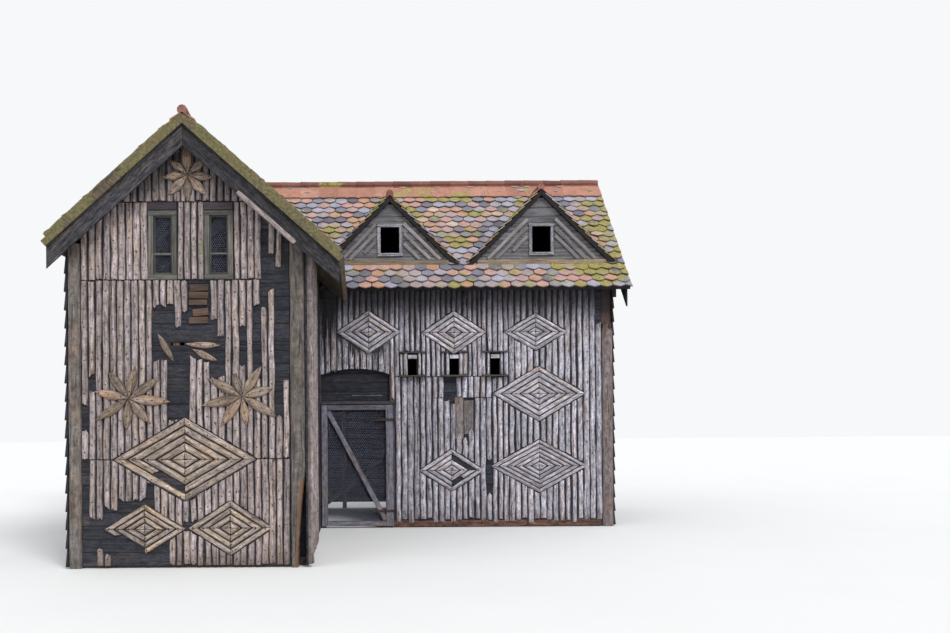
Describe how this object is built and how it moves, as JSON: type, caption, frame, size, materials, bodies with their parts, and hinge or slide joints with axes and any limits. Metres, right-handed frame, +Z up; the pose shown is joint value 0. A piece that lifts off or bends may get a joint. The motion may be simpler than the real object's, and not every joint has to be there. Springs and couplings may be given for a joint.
{
  "type": "wooden dovecote",
  "caption": "Timber-framed rustic dovecote clad in split poles with diamond and star patterns, tiled roofs, dormers, pigeon holes and a mesh door.",
  "frame": {"origin": "on the ground, in the middle of the outline of the roofs", "axes": "+X to the right as seen from the front, +Y towards the back, +Z up"},
  "size_m": [7.999, 7.93, 6.0181],
  "materials": {
    "oak": "weathered",
    "boards": "weathered",
    "poles": "weathered",
    "bark_sticks": "weathered",
    "tiles": "mossy",
    "ridge_tiles": "weathered",
    "frame_paint": "weathered",
    "wire": "galvanised",
    "iron": "rusty"
  },
  "bodies": {
    "house": {"arch_boards": "boards", "arch_panel": "boards", "back_boards": "boards", "back_brace": "oak", "corner_posts": "oak", "door_head": "oak", "door_posts": "oak", "dormer_fronts": "boards", "dormer_left_slopes": "tiles", "dormer_ridge_tiles": "ridge_tiles", "dormer_right_slopes": "tiles", "dormer_sills": "boards", "dormer_window_frames": "frame_paint", "ground_sills": "oak", "hinge_hooks": "iron", "left_gable_boards": "boards", "loft_floor": "boards", "loft_joists": "oak", "loft_ledgers": "oak", "main_back_rafters": "oak", "main_bargeboards": "boards", "main_diamonds": "bark_sticks", "main_front_boards": "boards", "main_front_poles": "poles", "main_front_rafters": "oak", "main_ridge_board": "oak", "main_ridge_tiles": "ridge_tiles", "main_roof_back": "tiles", "main_roof_front": "tiles", "pigeon_blocks": "poles", "pigeon_caps": "boards", "pigeon_ledges": "boards", "right_gable_boards": "boards", "tie_beams": "oak", "wall_plates": "oak", "wall_studs": "oak", "window_lintels": "oak", "window_mesh": "wire", "wing_bargeboards": "boards", "wing_diamonds": "bark_sticks", "wing_front_boards": "boards", "wing_front_poles": "poles", "wing_left_boards": "boards", "wing_rafters": "oak", "wing_ridge_board": "oak", "wing_ridge_tiles": "ridge_tiles", "wing_right_boards": "boards", "wing_roof_left": "tiles", "wing_roof_right": "tiles", "wing_side_poles": "poles", "wing_stars": "bark_sticks", "wing_window_frames": "frame_paint"},
    "door": {"door_brace": "oak", "door_mesh": "wire", "door_rails": "oak", "door_stiles": "oak", "door_straps": "iron"}
  },
  "joints": [
    {"name": "door_hinge", "type": "hinge", "parent": "house", "child": "door", "pos_m": [0.2465, 0.205, 1.005], "axis": [0, 0, 1], "range_deg": [0, 100]}
  ]
}
